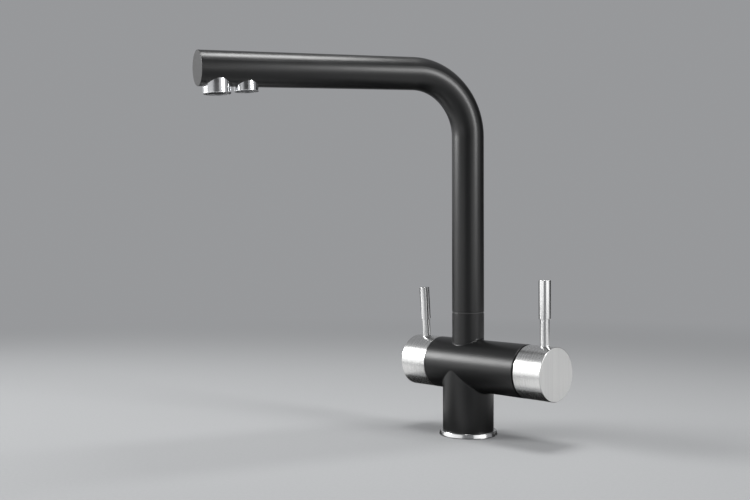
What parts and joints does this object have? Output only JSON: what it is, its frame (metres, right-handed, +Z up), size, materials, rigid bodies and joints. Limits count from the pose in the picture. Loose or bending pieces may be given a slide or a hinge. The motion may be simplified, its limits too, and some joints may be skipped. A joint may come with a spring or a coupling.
{
  "type": "kitchen faucet",
  "caption": "Deck-mounted kitchen mixer tap with an L-shaped swivel spout, a tilting mixer knob on one side and a quarter-turn filtered-water knob on the other.",
  "frame": {"origin": "on the deck plane, under the foot ring, on the axis of the riser", "axes": "+Z up along the riser, +X along the barrel towards the mixer knob, -Y towards the user"},
  "size_m": [0.184, 0.2598, 0.3867],
  "materials": {
    "black_coat": "satin black coating",
    "brushed_steel": "turned and brushed",
    "lever_steel": "fine polished",
    "foot_steel": "polished",
    "outlet_chrome": "mirror chrome",
    "steel": "plain zinc-plated steel",
    "brass": "machined",
    "ceramic": "lapped",
    "cartridge_plastic": "moulded",
    "aerator_plastic": "moulded",
    "slip_plastic": "moulded",
    "tube_plastic": "drawn tube",
    "rubber": "moulded"
  },
  "bodies": {
    "faucet_body": {"body_casting": "black_coat", "base_ring": "foot_steel", "base_seal": "rubber", "mounting_shank": "brass", "deck_seal_washer": "rubber", "deck_clamp_washer": "steel", "mounting_nut": "brass", "inlet_block": "brass", "cartridge_base": "cartridge_plastic", "cartridge_seals": "rubber", "fixed_mixing_disc": "ceramic", "cartridge_housing": "cartridge_plastic", "cartridge_nut": "brass", "filter_valve_body": "brass", "filter_valve_seal": "rubber", "filter_fixed_disc": "ceramic", "swivel_spigot": "brass", "swivel_orings": "rubber", "swivel_slip_ring": "slip_plastic", "filter_tube_socket": "cartridge_plastic"},
    "spout": {"spout_tube": "black_coat", "spout_end_cap": "black_coat", "spout_bush": "brass", "spout_grub_screw": "steel", "filter_water_tube": "tube_plastic", "filter_tube_elbow": "brass", "main_outlet_collar": "outlet_chrome", "aerator_washer": "rubber", "aerator_housing": "aerator_plastic", "aerator_screen": "aerator_plastic", "filter_outlet_collar": "outlet_chrome", "filter_outlet_seal": "rubber", "filter_outlet_insert": "aerator_plastic"},
    "mixer_turn": {"spindle_guide": "cartridge_plastic", "spindle_pin": "steel"},
    "mixer_handle": {"cartridge_spindle": "brass", "mixer_knob": "brushed_steel", "mixer_lever": "lever_steel", "mixer_knob_screw": "steel"},
    "mixer_disc": {"moving_mixing_disc": "ceramic", "disc_carrier": "cartridge_plastic"},
    "filter_handle": {"filter_spindle": "brass", "filter_moving_disc": "ceramic", "filter_spindle_oring": "rubber", "filter_circlip": "steel", "filter_knob": "brushed_steel", "filter_lever": "lever_steel", "filter_knob_screw": "steel"}
  },
  "joints": [
    {"name": "spout_swivel", "type": "hinge", "parent": "faucet_body", "child": "spout", "pos_m": [0, 0, 0.107], "axis": [0, 0, 1], "range_deg": [-91, 128]},
    {"name": "mixer_temperature", "type": "hinge", "parent": "faucet_body", "child": "mixer_turn", "pos_m": [0.0475, 0, 0.061], "axis": [1, 0, 0], "range_deg": [-50, 50]},
    {"name": "mixer_flow", "type": "hinge", "parent": "mixer_turn", "child": "mixer_handle", "pos_m": [0.0475, 0, 0.061], "axis": [0, 1, 0], "range_deg": [0, 20]},
    {"name": "disc_slide", "type": "slide", "parent": "mixer_turn", "child": "mixer_disc", "axis": [0, 0, 1], "range_m": [0, 0.00316]},
    {"name": "filter_open", "type": "hinge", "parent": "faucet_body", "child": "filter_handle", "pos_m": [-0.0325, 0, 0.061], "axis": [1, 0, 0], "range_deg": [0, 90]}
  ],
  "couplings": [
    {"joint": "disc_slide", "follows": "mixer_flow", "m_per_rad": 0.009015}
  ]
}
